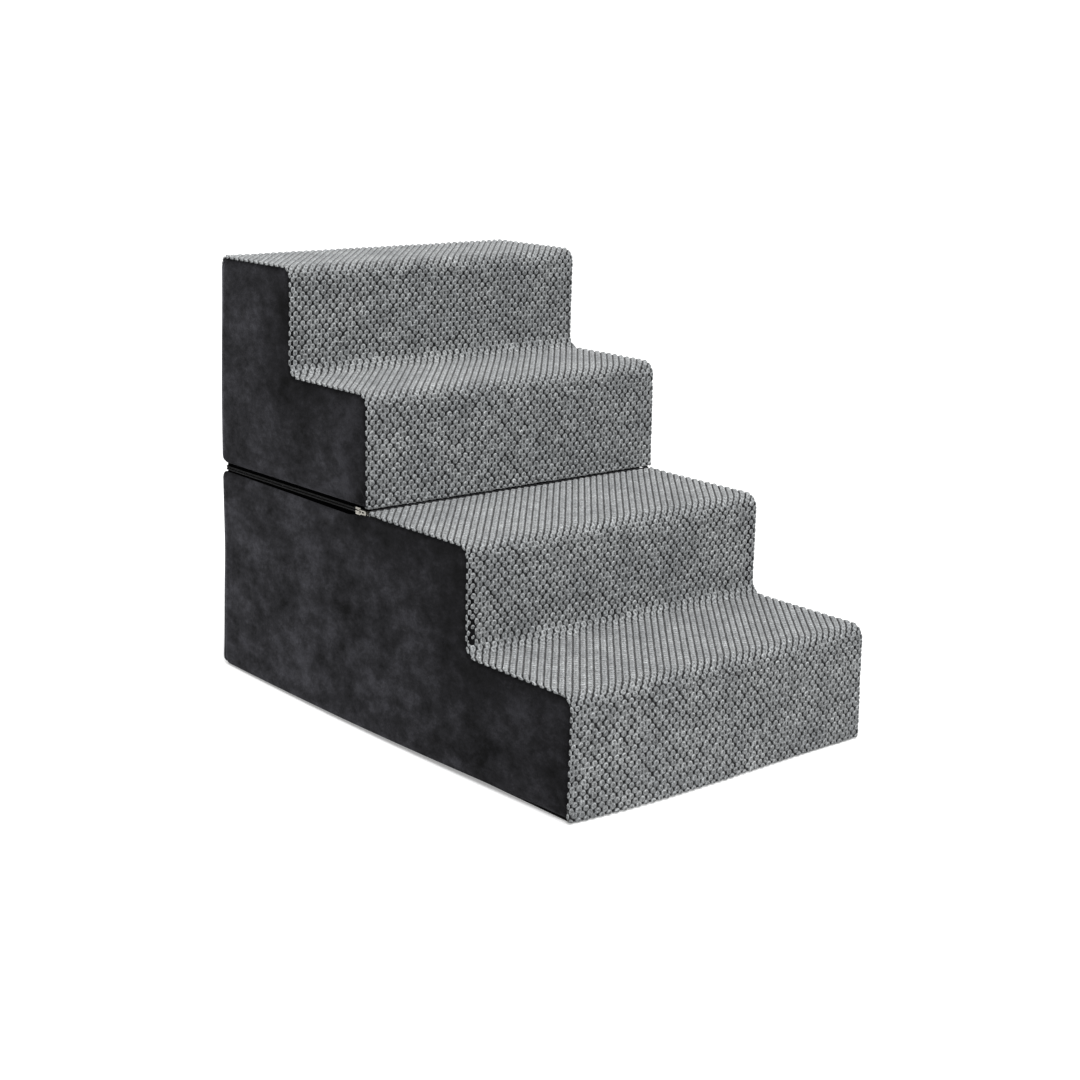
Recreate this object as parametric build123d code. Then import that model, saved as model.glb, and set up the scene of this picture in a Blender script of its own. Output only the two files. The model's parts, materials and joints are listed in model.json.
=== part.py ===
from build123d import *
import os

os.makedirs("parts", exist_ok=True)

# Frame: +Z up, risers face -Y, X across the width, origin on the floor under the middle. Millimetres.

# Overall size
WIDTH = 412.0
FRONT_Y = -330.0
BACK_Y = 330.0
HALF = WIDTH / 2

# Finished steps, over the plush
RISER_Y = [FRONT_Y, -162.0, 19.0, 172.0]
TREAD_Z = [132.0, 248.0, 378.0, 500.0]

# Fabric and lining thicknesses
PLUSH = 5.0
SUEDE = 1.5
BASE = 1.5
LINING = 1.2
PLUSH_FLOOR_GAP = 0.8

# Soft edges
NOSE_R = 12.0
INNER_R = 14.0
BACK_TOP_R = 5.0
BACK_BOTTOM_R = 8.0

# Foam faces, under the fabric
FOAM_X = HALF - SUEDE
FOAM_BACK = BACK_Y - SUEDE
FOAM_Y = [y + PLUSH for y in RISER_Y]
FOAM_Z = [z - PLUSH for z in TREAD_Z]

# Crease that joins the two modules at the foot of riser 3
CREASE_Y = RISER_Y[2] + 1.0
HINGE_Y = RISER_Y[2]
CREASE_Z = 250.0
CORD_R = 1.0
CORD_HALF = 202.0
WELT_T = 0.8
TREAD_END_Y = 18.6
RISER_FOOT_Z = 251.5
UPPER_FLOOR_Z = 246.7

# Shared zip section, measured inwards from the side face
ZIP_IN = 5.4
TAPE_T = 0.6
TAPE_FACE = HALF - 3.0
CHAIN_T = 1.6
STOP_T = 1.8
CORNER_R = 6.0
RABBET_DEPTH = ZIP_IN

# Joint zip heights and run
JOINT_Z = 246.0
JOINT_BAND = 14.0
JOINT_SUEDE_TOP = JOINT_Z - JOINT_BAND / 2
JOINT_CHAIN_H = 1.8
JOINT_GAP = 1.2
JOINT_FRONT_Y = CREASE_Y + 1.0
JOINT_SEW = 6.0

# Base zip heights and run
BASE_ZIP_Z = 2.9
BASE_SUEDE_Z = 6.0
BASE_CHAIN_H = 1.2
BASE_GAP = 1.1
BASE_FRONT_Y = FRONT_Y + PLUSH + 1.0
BASE_SEW = 3.0

# Turned hems where suede meets a zip tape
HEM_T = 1.5
HEM_H = 4.0

# Slider and pull, one section for both zips
PLATE_T = 0.8
INNER_PLATE_X = HALF - 4.9
OUTER_PLATE_X = HALF - 1.1
SLIDER_L = 11.0
TAIL_NOTCH = 3.2
PIN_R = 0.4
PIN_X = HALF + 0.4
BRIDGE_TOP_X = HALF + 1.7
BRIDGE_T = 0.6
BRIDGE_L = 8.0
PIN_FROM_FRONT = 4.9
PULL_L = 15.4
PULL_T = 0.8
WINDOW_L = 5.4
SLOT_L = 4.0
SLOT_H = 1.8

JOINT_SLIDER_H = 8.0
JOINT_INNER_FLOOR = -4.0
JOINT_WEB = 0.6
JOINT_PULL_H = 4.8
JOINT_BRIDGE_H = 1.6
JOINT_SLIDER_Y = CREASE_Y + 13.0

BASE_SLIDER_H = 4.8
BASE_INNER_FLOOR = -1.0
BASE_WEB = 0.5
BASE_PULL_H = 3.8
BASE_BRIDGE_H = 0.9
BASE_SLIDER_Y = BASE_FRONT_Y + 3.2


def box(x0, x1, y0, y1, z0, z1):
    """A box from its low and high corners."""
    solid = Box(x1 - x0, y1 - y0, z1 - z0)
    return Pos((x0 + x1) / 2, (y0 + y1) / 2, (z0 + z1) / 2) * solid


def rounded_profile(points, radii):
    """A face in the YZ plane with chosen corners rounded."""
    face = Face(Wire.make_polygon([Vector(0, y, z) for y, z in points], close=True))
    for (y, z), radius in radii:
        corner = [v for v in face.vertices() if abs(v.Y - y) < 1e-6 and abs(v.Z - z) < 1e-6]
        face = face.fillet_2d(radius, corner)
    return face


def across(face, x0, x1):
    """A YZ face turned into a solid between two X positions."""
    solid = extrude(face, amount=x1 - x0, dir=(1, 0, 0))
    return Pos(x0, 0, 0) * solid


def u_ring(half_outer, thickness, front_y, z0, z1, corner_r):
    """A strip that runs along the left side, the back and the right side."""
    back = half_outer + BACK_Y - HALF
    outer = box(-half_outer, half_outer, front_y, back, z0, z1)
    outer = fillet(outer.edges().filter_by(Axis.Z).group_by(Axis.Y)[-1], corner_r)
    inner_half = half_outer - thickness
    inner = box(-inner_half, inner_half, front_y - 1, back - thickness, z0 - 1, z1 + 1)
    inner = fillet(inner.edges().filter_by(Axis.Z).group_by(Axis.Y)[-1], corner_r - thickness)
    return outer - inner


def side_rabbet(z0, z1, front_y):
    """The space that a zip needs in the edge of a foam slab, on three sides."""
    inner = HALF - RABBET_DEPTH
    outer = box(-HALF - 1, HALF + 1, front_y, BACK_Y + 1, z0, z1)
    return outer - box(-inner, inner, front_y - 1, BACK_Y - RABBET_DEPTH, z0 - 1, z1 + 1)


def foam_slab(front_y, z0, z1, back_r=0.0):
    """A foam block with a rounded nosing."""
    points = [(front_y, z0), (FOAM_BACK, z0), (FOAM_BACK, z1), (front_y, z1)]
    radii = [((front_y, z1), NOSE_R)]
    if back_r:
        radii.append(((FOAM_BACK, z1), back_r))
    return across(rounded_profile(points, radii), -FOAM_X, FOAM_X)


def lower_foam_bottom_slab():
    slab = foam_slab(FOAM_Y[0], BASE, FOAM_Z[0])
    return slab - side_rabbet(0, BASE_SUEDE_Z + HEM_H, BASE_FRONT_Y)


def lower_foam_top_slab():
    slab = foam_slab(FOAM_Y[1], FOAM_Z[0], FOAM_Z[1])
    return slab - side_rabbet(JOINT_SUEDE_TOP - JOINT_SEW - 1, FOAM_Z[1] + 1, JOINT_FRONT_Y)


def upper_foam_bottom_slab():
    slab = foam_slab(FOAM_Y[2], UPPER_FLOOR_Z, FOAM_Z[2])
    top = JOINT_Z + JOINT_BAND
    return slab - side_rabbet(UPPER_FLOOR_Z - 1, top, FOAM_Y[2] - 1)


def upper_foam_top_slab():
    return foam_slab(FOAM_Y[3], FOAM_Z[2], FOAM_Z[3], BACK_TOP_R)


def stair_panel(front_y, step_y, z0, step_z, z1):
    """Outline of one module's side: a bottom step with a second step behind it."""
    points = [
        (front_y, z0),
        (FOAM_BACK, z0),
        (FOAM_BACK, z1),
        (step_y, z1),
        (step_y, step_z),
        (front_y, step_z),
    ]
    return points, [((front_y, step_z), NOSE_R), ((step_y, z1), NOSE_R)]


def side_hem(z0, front_y):
    """Suede folded back behind the edge of a side panel."""
    inner = FOAM_X - HEM_T
    return box(inner, FOAM_X, front_y, BACK_Y - HALF + inner, z0, z0 + HEM_H)


def lower_side_panel():
    points, radii = stair_panel(FOAM_Y[0], FOAM_Y[1], BASE_SUEDE_Z, FOAM_Z[0], FOAM_Z[1])
    panel = across(rounded_profile(points, radii), FOAM_X, HALF)
    panel -= box(FOAM_X - 1, HALF + 1, JOINT_FRONT_Y, BACK_Y, JOINT_SUEDE_TOP, FOAM_Z[1] + 1)
    panel += side_hem(JOINT_SUEDE_TOP - HEM_H, JOINT_FRONT_Y)
    panel += side_hem(BASE_SUEDE_Z, BASE_FRONT_Y)
    return panel


def upper_side_panel():
    bottom = JOINT_Z + JOINT_BAND / 2
    points, radii = stair_panel(FOAM_Y[2], FOAM_Y[3], bottom, FOAM_Z[2], FOAM_Z[3])
    radii += [((FOAM_BACK, FOAM_Z[3]), BACK_TOP_R), ((FOAM_BACK, bottom), BACK_BOTTOM_R)]
    panel = across(rounded_profile(points, radii), FOAM_X, HALF)
    return panel + side_hem(bottom, FOAM_Y[2])


def back_panel(z0, z1, hem_floors):
    """Suede across the back, with a turned hem at each zip edge."""
    panel = box(-HALF, HALF, FOAM_BACK, BACK_Y, z0, z1)
    half = FOAM_X - HEM_T
    for floor in hem_floors:
        panel += box(-half, half, FOAM_BACK - HEM_T, FOAM_BACK, floor, floor + HEM_H)
    return panel


def lower_back_panel():
    return back_panel(BASE_SUEDE_Z, JOINT_SUEDE_TOP, [BASE_SUEDE_Z, JOINT_SUEDE_TOP - HEM_H])


def upper_back_panel():
    bottom = JOINT_Z + JOINT_BAND / 2
    return back_panel(bottom, FOAM_Z[3] - BACK_TOP_R, [bottom])


def plush_cover(front, step, floor_z, step_z, top_z, end_y, back_r):
    """Plush over two risers and two treads, with soft nosings and inside corners."""
    outer_r = NOSE_R + PLUSH
    points = [
        (front, floor_z),
        (front, step_z),
        (step, step_z),
        (step, top_z),
        (end_y, top_z),
        (end_y, top_z - PLUSH),
        (step + PLUSH, top_z - PLUSH),
        (step + PLUSH, step_z - PLUSH),
        (front + PLUSH, step_z - PLUSH),
        (front + PLUSH, floor_z),
    ]
    radii = [
        ((front, step_z), outer_r),
        ((step, step_z), INNER_R),
        ((step, top_z), outer_r),
        ((step + PLUSH, top_z - PLUSH), NOSE_R),
        ((front + PLUSH, step_z - PLUSH), NOSE_R),
    ]
    if back_r:
        radii.append(((end_y, top_z), back_r))
    return across(rounded_profile(points, radii), -HALF, HALF)


def lower_plush_cover():
    return plush_cover(
        RISER_Y[0], RISER_Y[1], PLUSH_FLOOR_GAP, TREAD_Z[0], TREAD_Z[1], TREAD_END_Y, 0.0
    )


def upper_plush_cover():
    cover = plush_cover(
        RISER_Y[2], RISER_Y[3], RISER_FOOT_Z, TREAD_Z[2], TREAD_Z[3], FOAM_BACK, 0.0
    )
    tail = rounded_profile(
        [
            (FOAM_BACK - BACK_TOP_R, FOAM_Z[3]),
            (FOAM_BACK, FOAM_Z[3]),
            (FOAM_BACK, FOAM_Z[3] - BACK_TOP_R),
            (BACK_Y, FOAM_Z[3] - BACK_TOP_R),
            (BACK_Y, TREAD_Z[3]),
            (FOAM_BACK - BACK_TOP_R, TREAD_Z[3]),
        ],
        [((FOAM_BACK, FOAM_Z[3]), BACK_TOP_R - 0.01), ((BACK_Y, TREAD_Z[3]), BACK_TOP_R)],
    )
    cover += across(tail, -HALF, HALF)
    inner = HALF - RABBET_DEPTH
    top = JOINT_Z + JOINT_BAND / 2 + 0.5
    for side in (-1, 1):
        x0, x1 = sorted((side * inner, side * (HALF + 1)))
        cover -= box(x0, x1, RISER_Y[2] - 1, FOAM_Y[2] + 1, RISER_FOOT_Z - 1, top)
    return cover


def lower_platform_lining():
    half = HALF - RABBET_DEPTH
    back = BACK_Y - RABBET_DEPTH
    return box(-half, half, TREAD_END_Y, back, FOAM_Z[1], FOAM_Z[1] + LINING)


def upper_base_lining():
    half = HALF - RABBET_DEPTH
    back = BACK_Y - RABBET_DEPTH
    return box(-half, half, FOAM_Y[2], back, UPPER_FLOOR_Z - LINING, UPPER_FLOOR_Z)


def base_panel():
    half = TAPE_FACE - TAPE_T
    panel = box(-half, half, FOAM_Y[0], BACK_Y - HALF + half, 0, BASE)
    return fillet(panel.edges().filter_by(Axis.Z), CORNER_R)


def crease_seam_welt():
    """A welt cord on the hinge line, with its flange standing on the platform lining."""
    cord = Pos(0, HINGE_Y, CREASE_Z) * Cylinder(CORD_R, 2 * CORD_HALF, rotation=(0, 90, 0))
    flange = box(
        -HALF + RABBET_DEPTH,
        HALF - RABBET_DEPTH,
        HINGE_Y - WELT_T / 2,
        HINGE_Y + WELT_T / 2,
        FOAM_Z[1] + LINING,
        CREASE_Z,
    )
    return cord + flange


def tape(front_y, z0, z1):
    return u_ring(TAPE_FACE, TAPE_T, front_y, z0, z1, CORNER_R)


def chain(front_y, z0, height):
    return u_ring(TAPE_FACE + CHAIN_T, CHAIN_T, front_y, z0, z0 + height, CORNER_R + CHAIN_T)


def stops(y0, length, z0, height):
    """The small clamps that end a chain half, one on each side of the stair."""
    left = box(-TAPE_FACE - STOP_T, -TAPE_FACE, y0, y0 + length, z0, z0 + height)
    return Compound([left, mirror(left, Plane.YZ)])


def joint_tape(upper):
    if upper:
        hem = JOINT_Z + JOINT_BAND / 2
        strip = tape(JOINT_FRONT_Y, JOINT_Z + 1.0, hem + JOINT_SEW)
        return strip - box(-HALF, HALF, JOINT_FRONT_Y - 1, FOAM_Y[2], hem, hem + 2 * JOINT_SEW)
    return tape(JOINT_FRONT_Y, JOINT_SUEDE_TOP - JOINT_SEW, JOINT_Z - 1.0)


def joint_chain(upper):
    low = JOINT_Z + JOINT_GAP / 2 if upper else JOINT_Z - JOINT_GAP / 2 - JOINT_CHAIN_H
    return chain(JOINT_FRONT_Y + 3.0, low, JOINT_CHAIN_H)


def joint_stops(upper):
    height = JOINT_CHAIN_H + 0.2
    low = JOINT_Z + 0.4 if upper else JOINT_Z - 0.4 - height
    return stops(JOINT_FRONT_Y + 0.2, 1.8, low, height)


def base_tape(upper):
    if upper:
        return tape(BASE_FRONT_Y, BASE_ZIP_Z + 0.9, BASE_SUEDE_Z + BASE_SEW)
    return tape(BASE_FRONT_Y, 0.3, BASE_ZIP_Z - 0.9)


def base_chain(upper):
    low = BASE_ZIP_Z + BASE_GAP / 2 if upper else BASE_ZIP_Z - BASE_GAP / 2 - BASE_CHAIN_H
    return chain(BASE_FRONT_Y + 3.0, low, BASE_CHAIN_H)


def base_stops():
    lower = stops(BASE_FRONT_Y + 0.2, 1.8, BASE_ZIP_Z - 0.4 - BASE_CHAIN_H, BASE_CHAIN_H)
    upper = stops(BASE_FRONT_Y + 0.2, 1.8, BASE_ZIP_Z + 0.4, BASE_CHAIN_H)
    return Compound(list(lower.solids()) + list(upper.solids()))


def plate_outline(height, notched):
    """A slider plate: round shoulders at the front, two prongs at the tail."""
    plate = Rectangle(SLIDER_L, height)
    plate = fillet(plate.vertices().group_by(Axis.X)[0], height * 0.42)
    plate = fillet(plate.vertices().group_by(Axis.X)[-1], height * 0.1)
    if notched:
        cut = Pos(SLIDER_L / 2, 0) * Rectangle(2 * TAIL_NOTCH, height * 0.38)
        plate -= cut
    return plate


def on_side(sketch, x_low, thickness):
    """A sketch drawn with its X along the stair's Y, stood up against the +X side."""
    plane = Plane(origin=(x_low, 0, 0), x_dir=(0, 1, 0), z_dir=(1, 0, 0))
    return extrude(plane * sketch, amount=thickness)


def slider_body(height, web, inner_floor):
    """Outer and inner plates joined by a thin divider, at the origin of its own run."""
    outer = on_side(plate_outline(height, True), OUTER_PLATE_X, PLATE_T)
    inner = on_side(plate_outline(height, False), INNER_PLATE_X, PLATE_T)
    inner -= box(0, HALF, -SLIDER_L, SLIDER_L, -height, inner_floor)
    length = SLIDER_L - TAIL_NOTCH - 0.6
    y0 = -SLIDER_L / 2 + 0.3
    divider = box(
        INNER_PLATE_X, OUTER_PLATE_X + PLATE_T / 2, y0, y0 + length, -web / 2, web / 2
    )
    return outer + inner + divider


def slider_bridge(height):
    """A strap on two feet over the slider's outer plate."""
    plate_face = OUTER_PLATE_X + PLATE_T
    y0 = -SLIDER_L / 2 + 1.0
    strap = box(plate_face, BRIDGE_TOP_X, y0, y0 + BRIDGE_L, -height / 2, height / 2)
    top_edges = strap.edges().filter_by(Axis.Z).group_by(Axis.X)[-1]
    strap = fillet(top_edges, BRIDGE_T)
    foot = 1.0
    hole = box(plate_face - 1, BRIDGE_TOP_X - BRIDGE_T, y0 + foot, y0 + BRIDGE_L - foot, -9, 9)
    return strap - hole


def pull_tab(height, bridge_h):
    """A flat tab with a round end, a slot, and a window that hangs on a round pin."""
    pin_y = -SLIDER_L / 2 + PIN_FROM_FRONT
    tab = Pos(-PULL_L / 2, 0) * Rectangle(PULL_L, height)
    tab = fillet(tab.vertices().group_by(Axis.X)[0], height * 0.45)
    window_h = bridge_h + 1.2
    tab -= Pos(-WINDOW_L / 2, 0) * Rectangle(WINDOW_L, window_h)
    slot_x = -WINDOW_L - 2.0 - SLOT_L / 2
    tab -= Pos(slot_x, 0) * SlotOverall(SLOT_L, SLOT_H * height / JOINT_PULL_H)
    plate = on_side(Pos(pin_y, 0) * tab, PIN_X - PULL_T / 2, PULL_T)
    pin = Pos(PIN_X, pin_y, 0) * Cylinder(PIN_R, height)
    return plate + pin


def onto_left(solid, y, z):
    """Moves a part made for the +X side onto the left side of the stair."""
    return Pos(0, y, z) * mirror(solid, Plane.YZ)


def pull_backwards(solid):
    """Turns a pull tab end for end about its pin, so that it lies towards the back."""
    pin_y = -SLIDER_L / 2 + PIN_FROM_FRONT
    return Pos(0, 2 * pin_y, 0) * mirror(solid, Plane.XZ)


joint_slider_mid = JOINT_SLIDER_Y + SLIDER_L / 2
base_slider_mid = BASE_SLIDER_Y + SLIDER_L / 2

parts = {
    "lower_foam_bottom_slab": lower_foam_bottom_slab(),
    "lower_foam_top_slab": lower_foam_top_slab(),
    "lower_left_panel": mirror(lower_side_panel(), Plane.YZ),
    "lower_right_panel": lower_side_panel(),
    "lower_back_panel": lower_back_panel(),
    "lower_plush_cover": lower_plush_cover(),
    "lower_platform_lining": lower_platform_lining(),
    "base_panel": base_panel(),
    "base_zip_lower_tape": base_tape(False),
    "base_zip_upper_tape": base_tape(True),
    "base_zip_lower_chain": base_chain(False),
    "base_zip_upper_chain": base_chain(True),
    "base_zip_stops": base_stops(),
    "joint_zip_lower_tape": joint_tape(False),
    "joint_zip_lower_chain": joint_chain(False),
    "joint_zip_lower_stops": joint_stops(False),
    "crease_seam_welt": crease_seam_welt(),
    "upper_foam_bottom_slab": upper_foam_bottom_slab(),
    "upper_foam_top_slab": upper_foam_top_slab(),
    "upper_left_panel": mirror(upper_side_panel(), Plane.YZ),
    "upper_right_panel": upper_side_panel(),
    "upper_back_panel": upper_back_panel(),
    "upper_plush_cover": upper_plush_cover(),
    "upper_base_lining": upper_base_lining(),
    "joint_zip_upper_tape": joint_tape(True),
    "joint_zip_upper_chain": joint_chain(True),
    "joint_zip_upper_stops": joint_stops(True),
    "joint_zip_slider_body": onto_left(
        slider_body(JOINT_SLIDER_H, JOINT_WEB, JOINT_INNER_FLOOR), joint_slider_mid, JOINT_Z
    ),
    "joint_zip_slider_bridge": onto_left(
        slider_bridge(JOINT_BRIDGE_H), joint_slider_mid, JOINT_Z
    ),
    "joint_zip_pull_tab": onto_left(
        pull_tab(JOINT_PULL_H, JOINT_BRIDGE_H), joint_slider_mid, JOINT_Z
    ),
    "base_zip_slider_body": Pos(0, base_slider_mid, BASE_ZIP_Z)
    * slider_body(BASE_SLIDER_H, BASE_WEB, BASE_INNER_FLOOR),
    "base_zip_slider_bridge": Pos(0, base_slider_mid, BASE_ZIP_Z)
    * slider_bridge(BASE_BRIDGE_H),
    "base_zip_pull_tab": Pos(0, base_slider_mid, BASE_ZIP_Z)
    * pull_backwards(pull_tab(BASE_PULL_H, BASE_BRIDGE_H)),
}

for name, shape in parts.items():
    export_step(shape, f"parts/{name}.step")
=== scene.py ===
import json
import math

import bpy
import numpy as np
from mathutils import Matrix, Vector, noise
from mathutils.geometry import delaunay_2d_cdt

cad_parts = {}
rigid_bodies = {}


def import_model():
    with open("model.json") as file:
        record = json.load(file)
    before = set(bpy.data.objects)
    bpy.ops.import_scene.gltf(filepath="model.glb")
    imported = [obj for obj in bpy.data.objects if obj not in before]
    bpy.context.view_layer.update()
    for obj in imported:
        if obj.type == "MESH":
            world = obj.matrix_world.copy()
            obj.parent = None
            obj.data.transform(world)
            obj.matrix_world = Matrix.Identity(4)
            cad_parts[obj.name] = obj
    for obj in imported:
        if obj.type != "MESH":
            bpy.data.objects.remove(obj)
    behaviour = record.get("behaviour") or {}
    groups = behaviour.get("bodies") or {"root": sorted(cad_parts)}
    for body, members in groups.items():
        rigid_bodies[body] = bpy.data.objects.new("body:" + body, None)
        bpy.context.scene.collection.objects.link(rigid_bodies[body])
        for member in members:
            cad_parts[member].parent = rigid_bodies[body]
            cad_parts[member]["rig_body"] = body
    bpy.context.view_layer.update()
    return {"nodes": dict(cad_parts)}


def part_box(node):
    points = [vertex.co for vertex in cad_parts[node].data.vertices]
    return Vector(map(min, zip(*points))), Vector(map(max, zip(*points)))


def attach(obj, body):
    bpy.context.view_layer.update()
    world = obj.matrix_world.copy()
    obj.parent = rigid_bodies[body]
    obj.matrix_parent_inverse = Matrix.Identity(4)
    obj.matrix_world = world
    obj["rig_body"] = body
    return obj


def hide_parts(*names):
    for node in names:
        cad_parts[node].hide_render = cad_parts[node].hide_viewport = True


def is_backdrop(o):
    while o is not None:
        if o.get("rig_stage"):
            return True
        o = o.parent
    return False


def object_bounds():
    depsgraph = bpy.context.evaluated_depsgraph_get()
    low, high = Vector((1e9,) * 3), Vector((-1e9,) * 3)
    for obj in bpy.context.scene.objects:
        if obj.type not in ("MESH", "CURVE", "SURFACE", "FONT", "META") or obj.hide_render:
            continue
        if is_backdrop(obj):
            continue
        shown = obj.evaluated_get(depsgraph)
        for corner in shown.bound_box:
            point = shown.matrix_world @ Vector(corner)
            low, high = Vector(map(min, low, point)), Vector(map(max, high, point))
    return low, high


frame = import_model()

MM = 0.001

# Camera, at the photograph's viewing angle: metres, degrees and millimetres of lens
CAMERA_PLACE = (-1.3505, -1.6749, 0.7239)
CAMERA_AZIMUTH, CAMERA_ELEVATION, CAMERA_ROLL = -39.27, 13.90, 0.78
CAMERA_LENS, CAMERA_SENSOR = 64.4, 36.0

# Plush pile, in millimetres: staggered tufts, round on risers and ribs on treads
TUFT_ACROSS, TUFT_ROW = 9.3, 5.5
TUFT_RX, TUFT_RY = 3.78, 3.8
RIB_WIDE, RIB_LONG = 3.05, 5.4
TREAD_TUFT_H, RISER_TUFT_H = 3.2, 3.5
TUFT_LEAN = 1.0
# size of the painted shadow in the slot beside each tuft
GAP_SHADE_RX, GAP_SHADE_RY = 2.0, 3.2
STRAY_ACROSS, STRAY_ALONG, STRAY_GAP = 1.1, 0.9, 0.8
STRAY_SIZE, STRAY_HEIGHT, RIB_STEADY = 0.16, 0.18, 0.65
DOME_POWER = 1.8
RIM_REACH = 1.25
PILE_STEP = 1.15
SWELL, SWELL_SCALE, FUZZ = 0.5, 60.0, 0.22

# Plush covers: how they wrap the side edges, and the radii of the stair profile
EDGE_R, EDGE_TAIL, EDGE_PROUD, EDGE_SHIFT, EDGE_SINK = 3.0, 0.4, 2.0, 0.8, 0.4
NOSE_R, INNER_R, CURL_R, CREASE_R = 17.0, 14.0, 2.4, 1.1
RISER_LEAN = 2.0
COVER_THICK = 5.0
CREASE_LIP = 1.2

# How the soft block bulges and leans
CORNER_R, CORNER_PULL = 8.0, 3.0
FLARE_FRONT, FLARE_MIDDLE, FLARE_BACK = 3.0, 6.0, 7.0
FLARE_HEIGHT, FLARE_RUN = 150.0, 420.0
FRONT_BOW, FRONT_BOW_HEIGHT, FRONT_BOW_LEFT = 6.0, 110.0, 1.4
BULGE_POWER = 1.4
BACK_SWELL, BACK_LEAN, BACK_SWELL_FROM = 4.6, 0.8, 110.0
TOP_LEAN, TOP_LEAN_FROM = 3.0, 300.0

# Suede panels
TUCK = 2.4
SIDE_HEM, BACK_HEM, UPPER_SIDE_HEM = 9.0, 5.0, 3.0
BACK_ROLL = 10.0
FACE_IN = 0.6
SEAM_DROP, SEAM_REACH = 1.8, 7.0
BELLY, BELLY_REACH = 1.8, 95.0
BROAD_SLACK, BROAD_SCALE = 0.55, 90.0
FINE_SLACK, FINE_SCALE = 0.22, 28.0
# reach of the painted shade beside the stair edge
STAIR_SHADE = 80.0
OUTLINE_STEP, FINE_STEP, COARSE_STEP = 2.6, 1.8, 5.0

# Light
WORLD_STRENGTH = 0.5
SUN_STRENGTH = 2.2
OVERHEAD_POWER = 8.5


def span(name):
    """A CAD node's low and high corners, in millimetres."""
    low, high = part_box(name)
    return np.array(low) / MM, np.array(high) / MM


def smooth(t):
    """An S-shaped rise from 0 to 1."""
    t = np.clip(t, 0.0, 1.0)
    return t * t * (3 - 2 * t)


def smoothstep(low, high, x):
    """An S-shaped rise from 0 at low to 1 at high."""
    return smooth((x - low) / (high - low))


def make_object(name, points, faces, material, shade_smooth=True):
    """A mesh object from points in millimetres."""
    if isinstance(faces, np.ndarray):
        faces = faces.tolist()
    mesh = bpy.data.meshes.new(name)
    mesh.from_pydata((np.asarray(points) * MM).tolist(), [], faces)
    mesh.polygons.foreach_set("use_smooth", [shade_smooth] * len(mesh.polygons))
    mesh.materials.append(material)
    mesh.update()
    obj = bpy.data.objects.new(name, mesh)
    bpy.context.scene.collection.objects.link(obj)
    return obj


def grid_faces(rows, columns, wrap_rows=False, wrap_columns=False, start=0):
    """Quads over a grid of points stored row by row."""
    r = np.arange(rows if wrap_rows else rows - 1)
    c = np.arange(columns if wrap_columns else columns - 1)
    r, c = np.meshgrid(r, c, indexing="ij")
    r2, c2 = (r + 1) % rows, (c + 1) % columns
    quads = np.stack([r * columns + c, r * columns + c2, r2 * columns + c2, r2 * columns + c], -1)
    return quads.reshape(-1, 4) + start


def float_attribute(obj, name, values):
    """Stores one number for each vertex, for a material to read."""
    attribute = obj.data.attributes.new(name, "FLOAT", "POINT")
    attribute.data.foreach_set("value", np.asarray(values, np.float32).ravel())


def rounded_path(corners, radii, step, closed=False):
    """Straight runs with rounded corners: points about step apart, left-hand normals and lengths."""
    corners = np.array(corners, float)
    count = len(corners)
    dense = []
    for i in range(count):
        here = corners[i]
        radius = radii[i]
        if radius <= 0 or (not closed and i in (0, count - 1)):
            dense.append(here)
            continue
        before, after = corners[i - 1], corners[(i + 1) % count]
        a = (before - here) / np.linalg.norm(before - here)
        b = (after - here) / np.linalg.norm(after - here)
        half = math.acos(np.clip(a @ b, -1, 1)) / 2
        tangent = radius / math.tan(half)
        bisector = (a + b) / np.linalg.norm(a + b)
        centre = here + bisector * radius / math.sin(half)
        start, end = here + a * tangent - centre, here + b * tangent - centre
        turn = math.atan2(start[0] * end[1] - start[1] * end[0], start @ end)
        for t in np.linspace(0, 1, max(4, int(abs(turn) * radius / 0.25))):
            c, s = math.cos(turn * t), math.sin(turn * t)
            dense.append(centre + (start[0] * c - start[1] * s, start[0] * s + start[1] * c))
    dense = np.array(dense)
    if closed:
        dense = np.vstack([dense, dense[:1]])
    along = np.concatenate([[0], np.cumsum(np.linalg.norm(np.diff(dense, axis=0), axis=1))])
    number = int(round(along[-1] / step)) + 1
    at = np.linspace(0, along[-1], number)

    def read(where):
        return np.stack([np.interp(where, along, dense[:, k]) for k in range(2)], 1)

    points = read(at)
    tangent = read(at + 0.4) - read(at - 0.4)
    tangent /= np.linalg.norm(tangent, axis=1)[:, None]
    normals = np.stack([-tangent[:, 1], tangent[:, 0]], 1)
    if closed:
        points, normals, at = points[:-1], normals[:-1], at[:-1]
    return points, normals, at


def cloud_grid(a, b, scale, seed):
    """Smooth noise over two coordinates, worked out coarsely and read between."""
    step = scale / 4
    ga = np.arange(a.min() - step, a.max() + 2 * step, step)
    gb = np.arange(b.min() - step, b.max() + 2 * step, step)
    table = np.array([
        [noise.noise(Vector((x / scale, y / scale, seed * 3.7))) for y in gb] for x in ga
    ])
    fa, fb = (a - ga[0]) / step, (b - gb[0]) / step
    ia = np.clip(fa.astype(int), 0, len(ga) - 2)
    ib = np.clip(fb.astype(int), 0, len(gb) - 2)
    fa, fb = fa - ia, fb - ib
    low = table[ia, ib] * (1 - fb) + table[ia, ib + 1] * fb
    high = table[ia + 1, ib] * (1 - fb) + table[ia + 1, ib + 1] * fb
    return low * (1 - fa) + high * fa


# ---------------------------------------------------------------- materials

def new_material(name, **constants):
    """A Principled material, with its constants set on the shader's own sockets."""
    material = bpy.data.materials.new(name)
    material.use_nodes = True
    shader = material.node_tree.nodes["Principled BSDF"]
    for socket, value in constants.items():
        shader.inputs[socket.replace("_", " ")].default_value = value
    return material, material.node_tree, shader


def add(tree, kind, **settings):
    """A shader node, with its sockets or properties set by name."""
    node = tree.nodes.new(kind)
    for key, value in settings.items():
        if key in node.inputs:
            node.inputs[key].default_value = value
        else:
            setattr(node, key, value)
    return node


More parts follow.
